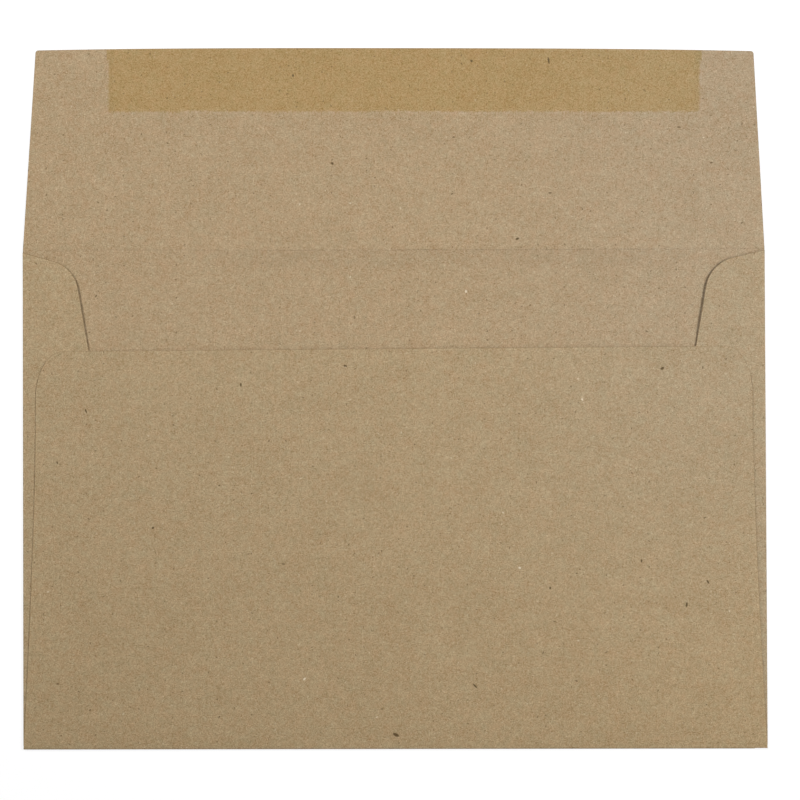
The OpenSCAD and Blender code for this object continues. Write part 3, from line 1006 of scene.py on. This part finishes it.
def lamp(name, place, aim, share, studio):
    """A long soft lamp that faces the point aim and gives that share of the light on the middle of the table."""
    data = bpy.data.lights.new(name, "AREA")
    data.shape = "RECTANGLE"
    data.size, data.size_y = studio.lamp_long, studio.lamp_short
    away = (Vector(place) - Vector(aim)).normalized()
    along = Vector((0, 0, 1)).cross(away).normalized()
    reach = 0.0
    for i in range(LAMP_SAMPLES):
        part = Vector(place) + along * studio.lamp_long * (i / (LAMP_SAMPLES - 1) - 0.5)
        reach += part.dot(away) * part.z / part.length ** 4 / LAMP_SAMPLES
    data.energy = share * math.pi ** 2 / reach
    made = new_object(name, data)
    made.location = place
    made.rotation_euler = away.to_track_quat("Z", "Y").to_euler()


def background_rays(g):
    """1 for the rays that show the background: the camera's, and those by way of metal or glass."""
    path = g.node("ShaderNodeLightPath")
    camera, glossy, through = (Wire(g, path.outputs[name]) for name in RAYS_THAT_SEE)
    return camera.at_least(glossy).at_least(through)


def floor_material():
    """A white floor that keeps the object's shadow."""
    material, g = new_material("white_floor")
    seen = background_rays(g)
    plain = g.node("ShaderNodeBsdfDiffuse", inputs={"Color": PALE_GREY})
    pale = g.node("ShaderNodeBsdfDiffuse", inputs={"Color": WHITE})
    glow = g.node("ShaderNodeEmission", inputs={"Color": WHITE, "Strength": FLOOR_GLOW})
    shadowed = g.mixed_shaders(SHADOW_SHARE, glow, pale)
    mixed = g.mixed_shaders(seen, plain, shadowed)
    g.end("ShaderNodeOutputMaterial", mixed)
    return material


def white_world(fill):
    """Even fill on the object, and plain white behind it for the camera."""
    world = bpy.data.worlds.new("studio")
    g = empty_graph(world)
    seen = background_rays(g)
    soft = g.node("ShaderNodeBackground", inputs={"Color": WHITE, "Strength": fill})
    white = g.node("ShaderNodeBackground", inputs={"Color": WHITE, "Strength": 1.0})
    mixed = g.mixed_shaders(seen, soft, white)
    g.end("ShaderNodeOutputWorld", mixed)
    return world


class ENVELOPE_OT_set_stage(Operator):
    """Set the white floor, the three lamps, the fill and the camera over the envelope"""

    bl_idname = "envelope.set_stage"
    bl_label = "Set the stage"

    def execute(self, context):
        scene, studio = context.scene, context.scene.envelope_studio
        mesh = bpy.data.meshes.new("floor")
        corners = ((-1, -1), (1, -1), (1, 1), (-1, 1))
        mesh.from_pydata([(x * FLOOR_HALF, y * FLOOR_HALF, -FLOOR_CLEAR) for x, y in corners], [], [(0, 1, 2, 3)])
        mesh.materials.append(floor_material())
        floor = new_object("floor", mesh)
        for name, place, aim, share in LAMPS:
            lamp(name, place, aim, getattr(studio, share), studio)
        scene.world = white_world(studio.fill)
        scene.view_settings.view_transform = "Standard"
        data = bpy.data.cameras.new("camera")
        data.lens = data.sensor_width * studio.camera_height * PIXELS_PER_METRE / PHOTO_SIDE
        data.clip_start = CLIP_START
        camera = new_object("camera", data)
        camera.location = (*LOOKED_AT, studio.camera_height)
        camera.rotation_euler = (0, 0, CAMERA_ROLL)
        scene.camera = camera
        return {"FINISHED"}


OPERATORS = (ENVELOPE_OT_fold_sheet, ENVELOPE_OT_coat_gum, ENVELOPE_OT_set_stage)


class ENVELOPE_PT_panel(Panel):
    """Lists the envelope's operators and sizes"""

    bl_label = "Paper envelope"
    bl_space_type = "VIEW_3D"
    bl_region_type = "UI"
    bl_category = "Envelope"

    def draw(self, context):
        for operator in OPERATORS:
            self.layout.operator(operator.bl_idname)
        for name, group in PROPERTY_GROUPS.items():
            box = self.layout.box()
            for key in group.__annotations__:
                box.prop(getattr(context.scene, name), key)


CLASSES = (*PROPERTY_GROUPS.values(), *OPERATORS, ENVELOPE_PT_panel)


def register():
    for item in CLASSES:
        bpy.utils.register_class(item)
    for name, group in PROPERTY_GROUPS.items():
        setattr(bpy.types.Scene, name, PointerProperty(type=group))


def unregister():
    for name in PROPERTY_GROUPS:
        delattr(bpy.types.Scene, name)
    for item in reversed(CLASSES):
        bpy.utils.unregister_class(item)


def main():
    register()
    bpy.ops.envelope.fold_sheet()
    bpy.ops.envelope.coat_gum()
    bpy.ops.envelope.set_stage()


if __name__ == "__main__":
    main()
